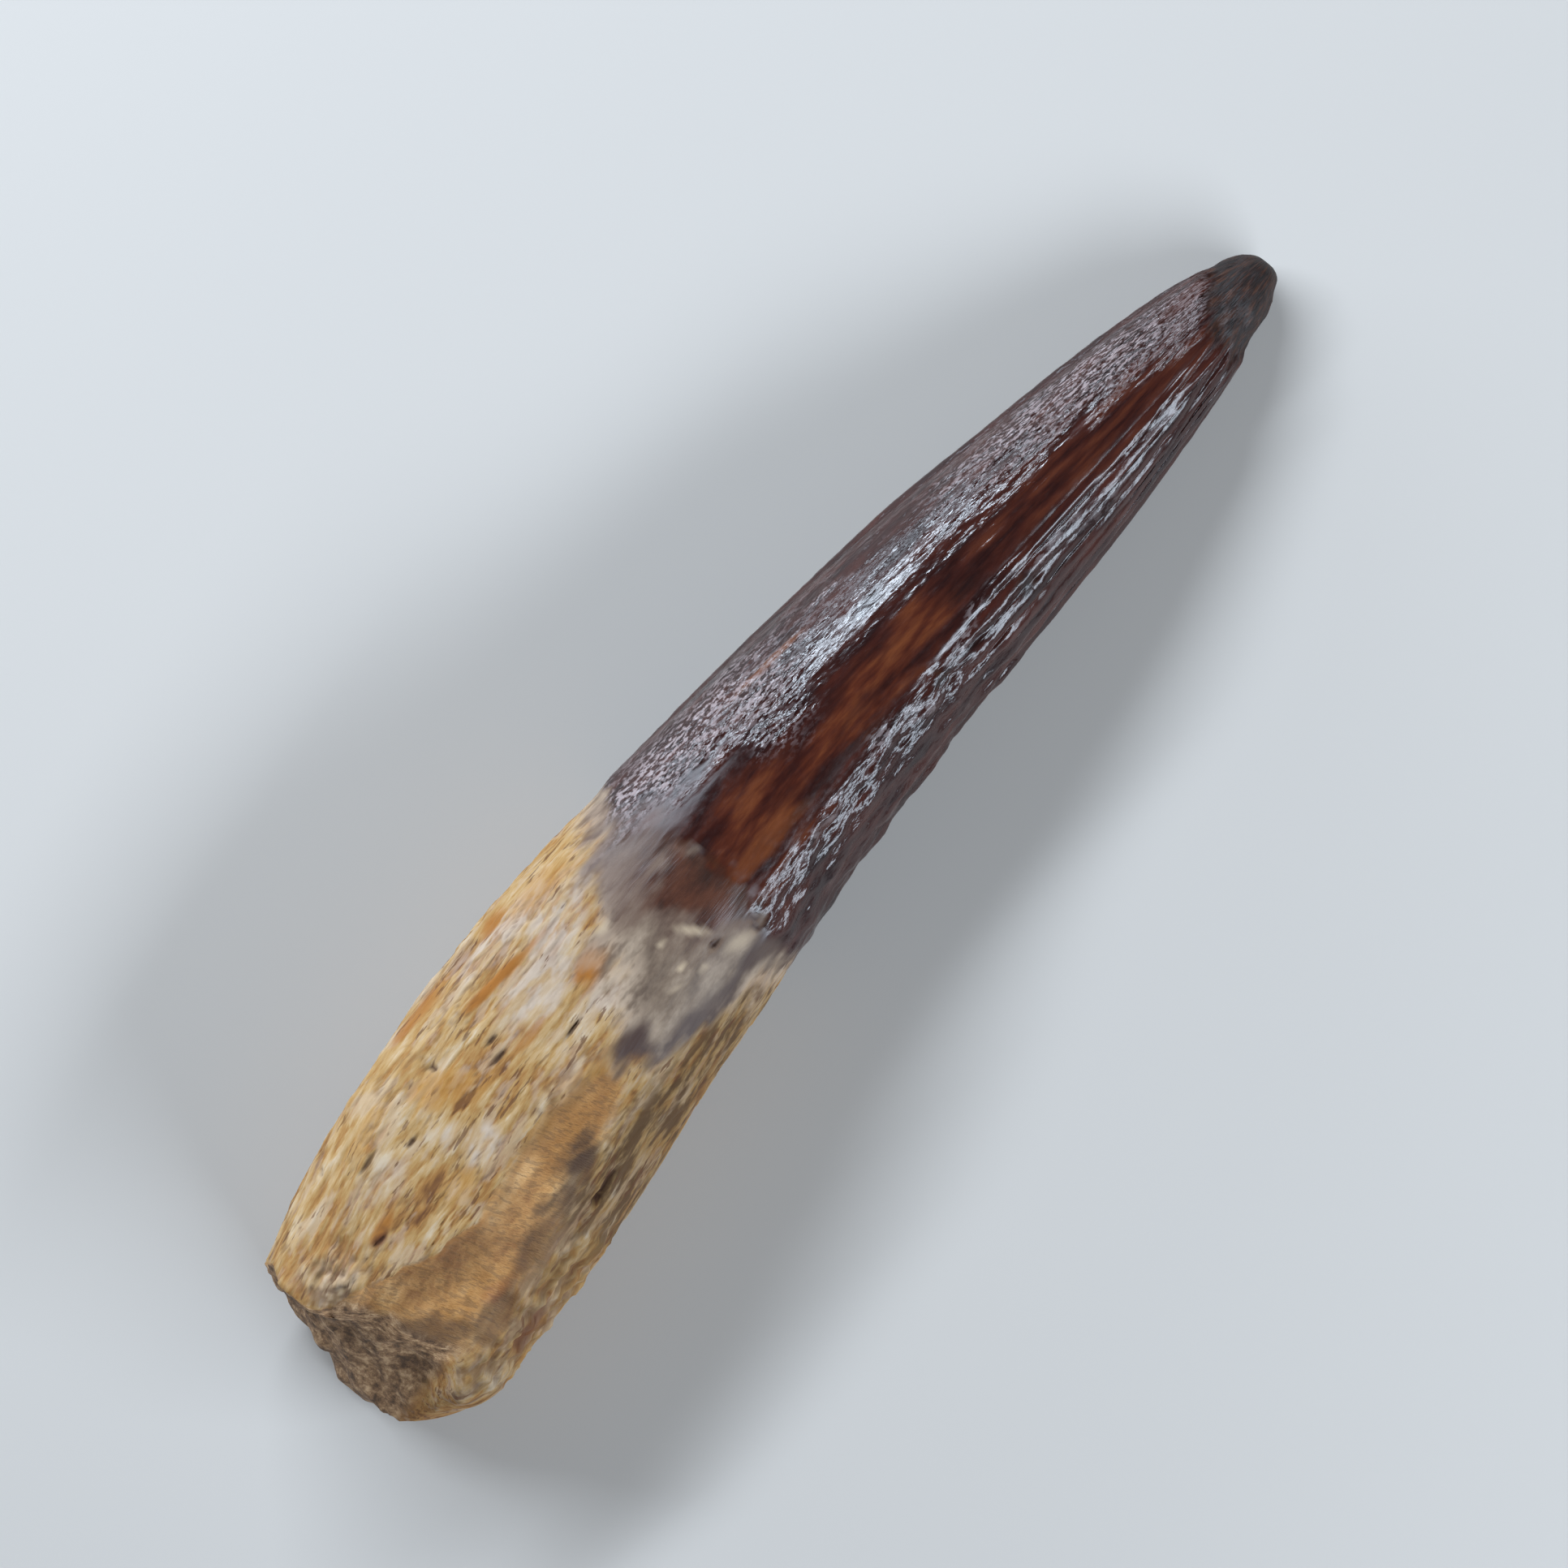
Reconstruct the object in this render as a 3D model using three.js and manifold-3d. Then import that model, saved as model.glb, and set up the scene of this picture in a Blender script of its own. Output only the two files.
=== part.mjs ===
// A spinosaurid tooth, found whole but for its root's end: a tall, gently curved crown of glossy enamel with
// lengthwise flutes and two cutting edges, on a stout root that is snapped off obliquely and spalled on its upper
// side. It is one piece, so it is one solid, and it lies on its side on three small flats.
//
// Millimetres. +X runs from the broken root to the worn tip, +Y points to the convex front edge, +Z is up from the
// surface that it lies on, and the origin is the middle of the bounding box's base.
import * as THREE from 'three';
import { mergeVertices } from 'three/addons/utils/BufferGeometryUtils.js';
import Module from 'manifold-3d';

// ---- Driving dimensions ----------------------------------------------------------------------------------------

const ROOT_END = -45;
const TIP = 45;

// The two long edges as seen from above: how far the convex and the concave edge lie from the X axis.
const OUTLINE = [
  { x: -45.0, convex: 6.2, concave: -9.7 },
  { x: -38.5, convex: 7.65, concave: -9.45 },
  { x: -31.5, convex: 9.0, concave: -8.9 },
  { x: -21.4, convex: 9.7, concave: -7.95 },
  { x: -11.4, convex: 9.75, concave: -6.95 },
  { x: -6.0, convex: 9.2, concave: -6.35 },
  { x: -1.3, convex: 8.6, concave: -5.7 },
  { x: 8.7, convex: 7.5, concave: -5.15 },
  { x: 18.8, convex: 6.1, concave: -5.1 },
  { x: 28.8, convex: 4.05, concave: -4.9 },
  { x: 36.4, convex: 2.35, concave: -4.45 },
  { x: 42.0, convex: 0.8, concave: -3.95 },
  { x: 45.0, convex: -0.2, concave: -3.5 },
];

// A section is a squarish oval: its height over its width, the power of the oval, and how far its lowest line lies
// above the ground. Where that is negative the ground's plane leaves a flat.
const SECTION = [
  { x: -45, flatness: 0.78, power: 2.3, clearance: 0.7 },
  { x: -36, flatness: 0.8, power: 2.25, clearance: -0.15 },
  { x: -20, flatness: 0.83, power: 2.2, clearance: -0.15 },
  { x: -8, flatness: 0.86, power: 2.15, clearance: 0.2 },
  { x: 5, flatness: 0.88, power: 2.1, clearance: -0.15 },
  { x: 20, flatness: 0.91, power: 2.05, clearance: 0.2 },
  { x: 34, flatness: 0.95, power: 2, clearance: -0.15 },
  { x: 45, flatness: 0.98, power: 2, clearance: 0.1 },
];

// The worn tip is a blunt dome: where it starts, and its power (2 is round, more is blunter).
const DOME_START = 42;
const DOME_POWER = 3;

// The root's snapped end: how far it stands back from ROOT_END across the tooth, and how much further it stands back
// for each millimetre above LEAN_FROM, which makes a bevel of its upper half.
const SNAP = [
  { y: -9.8, back: 4.7, lean: 0.1 },
  { y: -8.1, back: 2.3, lean: 0.15 },
  { y: -7.0, back: 0.9, lean: 0.5 },
  { y: -5.5, back: 0.2, lean: 0.75 },
  { y: -2.2, back: 0, lean: 0.66 },
  { y: 0.4, back: 0.7, lean: 0.45 },
  { y: 2.0, back: 1.3, lean: 0.25 },
  { y: 3.7, back: 1.9, lean: 0.12 },
  { y: 5.7, back: 2.5, lean: 0.1 },
  { y: 7.4, back: 3.6, lean: 0.1 },
  { y: 9.0, back: 5.0, lean: 0.1 },
];
const LEAN_FROM = 4;
const SNAP_REACH = 12; // how far the snapped end's shape reaches into the root's skin
const SNAP_DISH = 0.8; // how far the middle of the snapped face is hollowed
// The break's roughness: height, waves across the tooth, waves upwards, and phase.
const SNAP_ROUGHNESS = [
  { height: 0.2, across: 1.1, up: 0.7, phase: 0 },
  { height: 0.12, across: -1.3, up: 1.5, phase: 1 },
];

// A long flake is spalled off the root's upper side, from the snapped end up to SPALL_END: its upper edge, a ledge, its
// lower edge, the ledge's height, and how far the bared face is hollowed below a flat one.
const SPALL = [
  { x: -45.0, upper: 3.4, lower: -7.0, ledge: 1.3, hollow: 0.5 },
  { x: -41.3, upper: 2.2, lower: -7.0, ledge: 1.15, hollow: 0.5 },
  { x: -38.3, upper: 1.1, lower: -7.1, ledge: 0.9, hollow: 0.5 },
  { x: -34.5, upper: -0.6, lower: -7.4, ledge: 0.7, hollow: 0.45 },
  { x: -30.4, upper: -1.4, lower: -6.6, ledge: 0.5, hollow: 0.4 },
  { x: -26.5, upper: -0.5, lower: -5.8, ledge: 0.35, hollow: 0.35 },
  { x: -21.5, upper: -0.6, lower: -4.7, ledge: 0.2, hollow: 0.2 },
  { x: -18.4, upper: -1.8, lower: -3.9, ledge: 0, hollow: 0 },
];
const LEDGE_RUN = 0.8; // how far the ledge's wall leans out
const SPALL_END = -18.4;

// The enamel starts at a wavy line round the crown's foot, where it stands proud of the root, and is worn off the tip.
const ENAMEL_START = -6;
const ENAMEL_WAVE = 1;
const ENAMEL_THICKNESS = 0.18;
const ENAMEL_WORN_AT = 40.4;

// Flutes run the length of the crown. The upper face is nearly smooth, and the flanks and the under side are fluted.
const FLUTES = 32;
const FLUTE_DEPTH = 0.2;
const FULL_DEPTH_WIDTH = 6; // the half width of the crown above which the flutes have their full depth
const FLUTED_FROM = 10;
const FLUTED_TO = 39;
// The nearly smooth face, in degrees round the section from the convex edge over the top, and its share of the depth.
const SMOOTH_FACE = { from: 5, to: 108, edge: 4, share: 0.15 };

// A cutting edge runs along each side of the crown.
const CARINA_HEIGHT = 0.22;
const CARINA_WIDTH = 0.6;

// Small chips of the crown: degrees round the section, radius and depth.
const CHIPS = [
  { x: 31.6, angle: 38, radius: 0.7, depth: 0.12 },
  { x: 40.0, angle: 2, radius: 0.8, depth: 0.25 },
  { x: 42.6, angle: 95, radius: 1.1, depth: 0.3 },
  { x: 43.4, angle: 195, radius: 1.2, depth: 0.35 },
];

// The root's slow lumps: height, waves along X, waves round the section, and phase.
const LUMPS = [
  { height: 0.1, along: 0.21, round: 2, phase: 0.6 },
  { height: 0.07, along: 0.37, round: -3, phase: 2.1 },
  { height: 0.05, along: 0.58, round: 5, phase: 4.0 },
];
const CROWN_LUMPS = 0.25; // the crown's share of them

// Fineness of the faceted skin.
const ROUND = 96;
const RINGS = [
  -45, -44.4, -43.6, -42.7, -41.7, -40.6, -39.4, -38.1, -36.7, -35.2, -33.6, -32, -30.4, -28.8, -27.1, -25.3, -23.4,
  -21.4, -19.3, -16.8, -13.9, -11, -8.6, -7.2, -6.4, -5.8, -5.2, -4.2, -2, 1.5, 5.5, 10, 14.5, 19, 23.5, 27.6, 31.4,
  34.7, 37.4, 39.4, 40.4, 41.2, 42, 42.8, 43.5, 44.1, 44.6, 44.9,
];
// Rings of the snapped face: each as a share of its rim, and its one in how many of the rim's points.
const SNAP_RINGS = [
  { share: 0.9, oneIn: 1 },
  { share: 0.78, oneIn: 2 },
  { share: 0.64, oneIn: 2 },
  { share: 0.48, oneIn: 4 },
  { share: 0.3, oneIn: 4 },
  { share: 0.14, oneIn: 8 },
];

// ---- Curves ----------------------------------------------------------------------------------------------------

const { clamp, smoothstep, degToRad, radToDeg, euclideanModulo } = THREE.MathUtils;

// The value of one column of a table at x, on a smooth curve through its rows.
function through(rows, key, x, at = 'x') {
  const last = rows.length - 1;
  let i = 0;
  while (i < last - 1 && x > rows[i + 1][at]) i++;
  const slope = (k) => {
    const a = rows[Math.max(k - 1, 0)];
    const b = rows[Math.min(k + 1, last)];
    return (b[key] - a[key]) / (b[at] - a[at]);
  };
  const p = rows[i];
  const q = rows[i + 1];
  const span = q[at] - p[at];
  const t = clamp((x - p[at]) / span, 0, 1);
  const t2 = t * t;
  const t3 = t2 * t;
  return (
    (2 * t3 - 3 * t2 + 1) * p[key] +
    (t3 - 2 * t2 + t) * span * slope(i) +
    (3 * t2 - 2 * t3) * q[key] +
    (t3 - t2) * span * slope(i + 1)
  );
}

// ---- The unbroken tooth ----------------------------------------------------------------------------------------

// The oval section at x: its middle, its half width and half height, and its power.
function ovalAt(x) {
  const convex = through(OUTLINE, 'convex', x);
  const concave = through(OUTLINE, 'concave', x);
  const taper = (convex - concave) / 2;
  const flatness = through(SECTION, 'flatness', x);
  const domed = clamp((x - DOME_START) / (TIP - DOME_START), 0, 1);
  const dome = (1 - domed ** DOME_POWER) ** (1 / DOME_POWER);
  return {
    y: (convex + concave) / 2,
    z: taper * flatness + through(SECTION, 'clearance', x),
    halfWidth: taper * dome,
    halfHeight: taper * flatness * dome,
    power: through(SECTION, 'power', x),
  };
}

function lumps(x, angle) {
  const share = 1 + (CROWN_LUMPS - 1) * smoothstep(x, ENAMEL_START - 6, ENAMEL_START + 4);
  return share * LUMPS.reduce((sum, w) => sum + w.height * Math.sin(w.along * x + w.round * angle + w.phase), 0);
}

function enamel(x, angle) {
  const starts = ENAMEL_START + ENAMEL_WAVE * Math.sin(2 * angle + 0.9) + 0.3 * ENAMEL_WAVE * Math.sin(7 * angle);
  const ends = ENAMEL_WORN_AT + 0.5 * ENAMEL_WAVE * Math.sin(3 * angle + 1.2);
  return ENAMEL_THICKNESS * (smoothstep(x, starts, starts + 0.5) - smoothstep(x, ends, ends + 0.6));
}

function flutes(x, angle, halfWidth) {
  const degrees = euclideanModulo(radToDeg(angle), 360);
  const { from, to, edge, share } = SMOOTH_FACE;
  const overFace = smoothstep(degrees, from - edge, from + edge) - smoothstep(degrees, to - edge, to + edge);
  const along = smoothstep(x, FLUTED_FROM, FLUTED_FROM + 10) - smoothstep(x, FLUTED_TO - 4, FLUTED_TO);
  const fineness = clamp(halfWidth / FULL_DEPTH_WIDTH, 0, 1);
  return (FLUTE_DEPTH / 2) * fineness * along * (1 + (share - 1) * overFace) * Math.cos(FLUTES * angle);
}

function carinae(x, angle, halfWidth) {
  const along = smoothstep(x, ENAMEL_START, ENAMEL_START + 8) - smoothstep(x, TIP - 6, TIP - 3);
  const offEdge = Math.asin(Math.abs(Math.sin(angle))) * halfWidth;
  return CARINA_HEIGHT * along * Math.exp(-((offEdge / (CARINA_WIDTH / 2)) ** 2));
}

function chips(x, angle, radius) {
  return CHIPS.reduce((sum, chip) => {
    const turn = euclideanModulo(angle - degToRad(chip.angle) + Math.PI, 2 * Math.PI) - Math.PI;
    const off = Math.hypot(x - chip.x, turn * radius) / chip.radius;
    return sum + chip.depth * Math.exp(-(off ** 2));
  }, 0);
}

// A point of the unbroken skin at x, by its angle round the section from the convex edge over the top.
function skin(x, angle) {
  const oval = ovalAt(x);
  const c = Math.cos(angle);
  const s = Math.sin(angle);
  const radius = oval.halfWidth === 0 ? 0 : (
    Math.abs(c / oval.halfWidth) ** oval.power + Math.abs(s / oval.halfHeight) ** oval.power
  ) ** (-1 / oval.power);
  const raised = lumps(x, angle) + enamel(x, angle) + flutes(x, angle, radius) + carinae(x, angle, oval.halfWidth);
  const reach = radius + (raised - chips(x, angle, radius)) * smoothstep(radius, 0, 1.5);
  return { y: oval.y + reach * c, z: oval.z + reach * s };
}

// ---- The root's breaks -----------------------------------------------------------------------------------------

function snapX(y, z) {
  const back = through(SNAP, 'back', y, 'y') + through(SNAP, 'lean', y, 'y') * Math.max(0, z - LEAN_FROM);
  const rough = SNAP_ROUGHNESS.reduce((sum, w) => sum + w.height * Math.sin(w.across * y + w.up * z + w.phase), 0);
  return ROOT_END + Math.max(0, back + rough);
}

// The top of the unbroken skin over a point of the ground.
function topOf(x, y) {
  const oval = ovalAt(x);
  const across = clamp(Math.abs(y - oval.y) / oval.halfWidth, 0, 1);
  return oval.z + oval.halfHeight * (1 - across ** oval.power) ** (1 / oval.power);
}

// How deep the spalled face lies under the unbroken skin's top at a point of the ground.
function spallDepth(x, y) {
  const upper = through(SPALL, 'upper', x);
  const lower = through(SPALL, 'lower', x);
  if (x >= SPALL_END || y <= lower || y >= upper) return 0;
  const across = (y - lower) / (upper - lower);
  const high = topOf(x, upper) - Math.max(0, through(SPALL, 'ledge', x));
  const low = topOf(x, lower);
  const face = low + (high - low) * across - Math.max(0, through(SPALL, 'hollow', x)) * 4 * across * (1 - across);
  return Math.max(0, topOf(x, y) - face) * smoothstep(upper - y, 0, LEDGE_RUN);
}

// A point of the skin with its breaks. Near the snapped end the rings lean back to follow its edge.
function skinPoint(x, angle) {
  const share = 1 - smoothstep(x, ROOT_END, ROOT_END + SNAP_REACH);
  let at = x;
  let p;
  for (let pass = 0; pass < 4; pass++) {
    p = skin(at, angle);
    if (angle < Math.PI) p.z -= spallDepth(at, p.y);
    at = x + share * (snapX(p.y, p.z) - ROOT_END);
  }
  return new THREE.Vector3(at, p.y, p.z);
}

// A point of the snapped face, on the line from the middle of its rim to a point of the rim.
function snapPoint(rimPoint, middle, share) {
  const p = middle.clone().lerp(rimPoint, share);
  p.x = snapX(p.y, p.z) + SNAP_DISH * (1 - share ** 2);
  return p;
}

// ---- The solid -------------------------------------------------------------------------------------------------

// The triangles between two rings of points. The second ring has as many points as the first, or twice as many.
function band(first, second) {
  const ratio = second.count / first.count;
  return Array.from({ length: second.count }, (_, k) => {
    const step = Math.floor(k / ratio);
    const under = first.start + step;
    const underNext = first.start + ((step + 1) % first.count);
    const here = second.start + k;
    const next = second.start + ((k + 1) % second.count);
    const startsStep = (k + 1) % ratio === 0;
    return startsStep ? [under, underNext, next, under, next, here] : [under, next, here];
  }).flat();
}

// The triangles that close a ring of points round one point, facing the same way as the bands after it.
function cap(ring, pole) {
  return Array.from({ length: ring.count }, (_, k) => (
    [pole, ring.start + ((k + 1) % ring.count), ring.start + k]
  )).flat();
}

function toothGeometry() {
  const angles = Array.from({ length: ROUND }, (_, k) => (2 * Math.PI * k) / ROUND);
  const skinRings = RINGS.map((x) => angles.map((angle) => skinPoint(x, angle)));
  const rim = skinRings[0];
  const middle = rim.reduce((sum, p) => sum.add(p), new THREE.Vector3()).divideScalar(ROUND);
  const snapRings = SNAP_RINGS.map(({ share, oneIn }) => (
    rim.filter((_, k) => k % oneIn === 0).map((p) => snapPoint(p, middle, share))
  )).reverse();
  const tipOval = ovalAt(TIP);
  const tip = new THREE.Vector3(TIP, tipOval.y, tipOval.z);

  const points = [];
  const spans = [...snapRings, ...skinRings].map((ring) => {
    points.push(...ring);
    return { start: points.length - ring.length, count: ring.length };
  });
  points.push(snapPoint(middle, middle, 0), tip);
  const index = [
    ...cap(spans[0], points.length - 2),
    ...spans.slice(1).flatMap((ring, k) => band(spans[k], ring)),
    ...cap(spans[spans.length - 1], points.length - 1).reverse(),
  ];
  return new THREE.BufferGeometry().setFromPoints(points).setIndex(index);
}

const wasm = await Module();
wasm.setup();

function solidFrom(geometry) {
  const bare = geometry.clone();
  for (const name of ['normal', 'uv']) bare.deleteAttribute(name);
  const merged = mergeVertices(bare, 1e-4);
  return new wasm.Manifold(new wasm.Mesh({
    numProp: 3,
    vertProperties: merged.attributes.position.array,
    triVerts: new Uint32Array(merged.index.array),
  }));
}

function geometryFrom(solid) {
  const { numProp, vertProperties, triVerts } = solid.getMesh();
  return new THREE.BufferGeometry()
    .setAttribute('position', new THREE.BufferAttribute(vertProperties, numProp))
    .setIndex(new THREE.BufferAttribute(triVerts, 1));
}

// What dips below the ground's plane is cut away, which leaves the flats that the tooth lies on.
function groundBox() {
  const depth = 5;
  const box = new THREE.BoxGeometry(2 * (TIP - ROOT_END), TIP - ROOT_END, depth);
  return box.translate(0, 0, -depth / 2);
}

// The bounding box's middle goes over the origin.
function centred(geometry) {
  geometry.computeBoundingBox();
  const middle = geometry.boundingBox.getCenter(new THREE.Vector3());
  return geometry.translate(-middle.x, -middle.y, 0);
}

const toothMaterial = new THREE.MeshStandardMaterial({ color: 0x7a4a2a, roughness: 0.4, metalness: 0 });
const tooth = new THREE.Mesh(
  centred(geometryFrom(solidFrom(toothGeometry()).subtract(solidFrom(groundBox())))),
  toothMaterial,
);
tooth.name = 'tooth';

const fossil = new THREE.Group();
fossil.add(tooth);

export default fossil;
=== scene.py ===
import math

import bpy
import numpy as np
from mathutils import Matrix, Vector, noise


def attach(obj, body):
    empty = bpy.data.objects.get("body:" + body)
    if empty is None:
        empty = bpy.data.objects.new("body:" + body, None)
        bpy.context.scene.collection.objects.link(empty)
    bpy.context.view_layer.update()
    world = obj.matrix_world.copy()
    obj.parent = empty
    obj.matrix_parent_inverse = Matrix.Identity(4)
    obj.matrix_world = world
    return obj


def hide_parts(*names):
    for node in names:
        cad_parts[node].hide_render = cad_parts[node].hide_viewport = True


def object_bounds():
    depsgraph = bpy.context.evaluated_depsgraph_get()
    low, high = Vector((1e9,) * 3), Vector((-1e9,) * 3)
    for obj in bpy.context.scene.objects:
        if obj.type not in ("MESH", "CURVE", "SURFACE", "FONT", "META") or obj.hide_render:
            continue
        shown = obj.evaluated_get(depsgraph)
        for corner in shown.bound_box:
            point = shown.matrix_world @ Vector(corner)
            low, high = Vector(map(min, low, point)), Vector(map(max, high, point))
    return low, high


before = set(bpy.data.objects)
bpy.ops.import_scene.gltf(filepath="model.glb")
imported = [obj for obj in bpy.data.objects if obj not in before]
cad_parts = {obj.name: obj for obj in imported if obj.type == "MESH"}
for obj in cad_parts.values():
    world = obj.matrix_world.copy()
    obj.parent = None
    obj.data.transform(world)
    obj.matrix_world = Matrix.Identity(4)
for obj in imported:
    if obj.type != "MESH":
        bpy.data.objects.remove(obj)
cad_low, cad_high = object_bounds()


# ---- The tooth --------------------------------------------------------------------------------------------
# One piece of mineralised dentine, 90 mm long, with glossy enamel over its crown. It grew in layers, so its
# root is fibrous and its crown fluted. The root's end is snapped off, a long flake is spalled off its upper
# side, and the tip is worn through to the dentine. It lies loose on its side.

MM = 0.001  # lengths are in millimetres until the mesh is made, which is in metres

ROOT_END = -45.0
TIP = 45.0
OUTLINE = np.array([  # x, convex edge, concave edge, as seen from above
    (-45.0, 6.2, -9.7),
    (-38.5, 7.65, -9.45),
    (-31.5, 9.0, -8.9),
    (-21.4, 9.7, -7.95),
    (-11.4, 9.75, -6.95),
    (-6.0, 9.2, -6.35),
    (-1.3, 8.6, -5.7),
    (8.7, 7.5, -5.15),
    (18.8, 6.1, -5.1),
    (28.8, 4.05, -4.9),
    (36.4, 2.35, -4.45),
    (42.0, 0.8, -3.95),
    (45.0, -0.2, -3.5),
])
SECTION = np.array([  # x, height over width, power of the oval, clearance under its lowest line
    (-45, 0.78, 2.3, 0.7),
    (-36, 0.8, 2.25, -0.15),
    (-20, 0.83, 2.2, -0.15),
    (-8, 0.86, 2.15, 0.2),
    (5, 0.88, 2.1, -0.15),
    (20, 0.91, 2.05, 0.2),
    (34, 0.95, 2, -0.15),
    (45, 0.98, 2, 0.1),
])
DOME_START = 42
DOME_POWER = 3
NOTHING = 1e-6  # keeps a division from meeting zero


def smoothstep(low, high, value):
    """0 up to low, 1 past high and a soft rise between them. It falls where low is the greater."""
    share = np.clip((value - low) / (high - low), 0, 1)
    return share * share * (3 - 2 * share)


def through(rows, column, x):
    """One column of a table at x, on a smooth curve through its rows."""
    places = rows[:, 0]
    values = rows[:, column]
    before = np.maximum(np.arange(len(rows)) - 1, 0)
    after = np.minimum(np.arange(len(rows)) + 1, len(rows) - 1)
    slopes = (values[after] - values[before]) / (places[after] - places[before])
    row = np.clip(np.searchsorted(places, x) - 1, 0, len(rows) - 2)
    span = places[row + 1] - places[row]
    t = np.clip((x - places[row]) / span, 0, 1)
    return (
        (2 * t**3 - 3 * t**2 + 1) * values[row]
        + (t**3 - 2 * t**2 + t) * span * slopes[row]
        + (3 * t**2 - 2 * t**3) * values[row + 1]
        + (t**3 - t**2) * span * slopes[row + 1]
    )


def oval_at(x):
    """The section at x: its middle's y and z, its half width and half height, and its power."""
    convex = through(OUTLINE, 1, x)
    concave = through(OUTLINE, 2, x)
    taper = (convex - concave) / 2
    flatness = through(SECTION, 1, x)
    domed = np.clip((x - DOME_START) / (TIP - DOME_START), 0, 1)
    dome = (1 - domed**DOME_POWER) ** (1 / DOME_POWER)
    middle_z = taper * flatness + through(SECTION, 3, x)
    return (convex + concave) / 2, middle_z, taper * dome, taper * flatness * dome, through(SECTION, 2, x)


# The relief that a finger feels: slow lumps, the enamel's step, flutes, and a cutting edge on either side.
LUMPS = [(0.1, 0.21, 2, 0.6), (0.07, 0.37, -3, 2.1), (0.05, 0.58, 5, 4.0)]  # height, along, round, phase
CROWN_LUMPS = 0.25  # what is left of the lumps on the crown
ENAMEL_START = -6
ENAMEL_THICKNESS = 0.18
FLUTES = 32
FLUTE_DEPTH = 0.2
FLUTED_FROM, FLUTED_TO = 10, 39
FLUTE_RADIUS = 6  # the flutes grow shallower where the crown is thinner than this
SMOOTH_FACE = (5, 108)  # degrees round the section, where the flutes nearly fade
FACE_EDGE = 4
FACE_FADE = 0.85
CARINA_HEIGHT = 0.22
CARINA_WIDTH = 0.6


def skin(x, angle):
    """A point of the unbroken tooth: x, and the angle round the section from the convex edge over the top."""
    middle_y, middle_z, half_width, half_height, power = oval_at(x)
    cosine = np.cos(angle)
    sine = np.sin(angle)
    width = np.maximum(half_width, NOTHING)
    height = np.maximum(half_height, NOTHING)
    radius = (np.abs(cosine / width) ** power + np.abs(sine / height) ** power) ** (-1 / power)

    lump_share = 1 + (CROWN_LUMPS - 1) * smoothstep(ENAMEL_START - 6, ENAMEL_START + 4, x)
    lumps = sum(high * np.sin(along * x + around * angle + phase) for high, along, around, phase in LUMPS)

    degrees = np.degrees(angle) % 360
    over_face = smoothstep(SMOOTH_FACE[0] - FACE_EDGE, SMOOTH_FACE[0] + FACE_EDGE, degrees)
    over_face = over_face - smoothstep(SMOOTH_FACE[1] - FACE_EDGE, SMOOTH_FACE[1] + FACE_EDGE, degrees)
    fluted = smoothstep(FLUTED_FROM, FLUTED_FROM + 10, x) - smoothstep(FLUTED_TO - 4, FLUTED_TO, x)
    flute_height = FLUTE_DEPTH / 2 * np.clip(radius / FLUTE_RADIUS, 0, 1)
    flutes = flute_height * fluted * (1 - FACE_FADE * over_face) * np.cos(FLUTES * angle)

    edged = smoothstep(ENAMEL_START, ENAMEL_START + 8, x) - smoothstep(TIP - 6, TIP - 3, x)
    off_edge = np.arcsin(np.abs(sine)) * half_width
    carinae = CARINA_HEIGHT * edged * np.exp(-((off_edge / (CARINA_WIDTH / 2)) ** 2))

    raised = lump_share * lumps + flutes + carinae
    reach = radius + raised * smoothstep(0, 1.5, radius)
    return middle_y + reach * cosine, middle_z + reach * sine


# The breaks: the snapped end's edge and bevel, and the spalled face with the ledge above it.
SNAP = np.array([  # y, how far it stands back, and how much further for each millimetre up
    (-9.8, 4.7, 0.1),
    (-8.1, 2.3, 0.15),
    (-7.0, 0.9, 0.5),
    (-5.5, 0.2, 0.75),
    (-2.2, 0, 0.66),
    (0.4, 0.7, 0.45),
    (2.0, 1.3, 0.25),
    (3.7, 1.9, 0.12),
    (5.7, 2.5, 0.1),
    (7.4, 3.6, 0.1),
    (9.0, 5.0, 0.1),
])
LEAN_FROM = 4
SNAP_REACH = 12
SNAP_DISH = 0.8
SNAP_ROUGHNESS = [(0.2, 1.1, 0.7, 0), (0.12, -1.3, 1.5, 1)]  # height, across, up, phase
SPALL = np.array([  # x, upper edge, lower edge, ledge's height, hollow
    (-45.0, 3.4, -7.0, 1.3, 0.5),
    (-41.3, 2.2, -7.0, 1.15, 0.5),
    (-38.3, 1.1, -7.1, 0.9, 0.5),
    (-34.5, -0.6, -7.4, 0.7, 0.45),
    (-30.4, -1.4, -6.6, 0.5, 0.4),
    (-26.5, -0.5, -5.8, 0.35, 0.35),
    (-21.5, -0.6, -4.7, 0.2, 0.2),
    (-18.4, -1.8, -3.9, 0, 0),
])
SPALL_END = -18.4
LEDGE_RUN = 0.5


def snap_x(y, z):
    """Where the snapped end cuts a line that runs along the tooth."""
    back = through(SNAP, 1, y) + through(SNAP, 2, y) * np.maximum(0, z - LEAN_FROM)
    rough = sum(high * np.sin(across * y + up * z + phase) for high, across, up, phase in SNAP_ROUGHNESS)
    return ROOT_END + np.maximum(0, back + rough)


def top_of(x, y):
    """The unbroken tooth's upper side."""
    middle_y, middle_z, half_width, half_height, power = oval_at(x)
    across = np.clip(np.abs(y - middle_y) / np.maximum(half_width, NOTHING), 0, 1)
    return middle_z + half_height * (1 - across**power) ** (1 / power)


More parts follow.
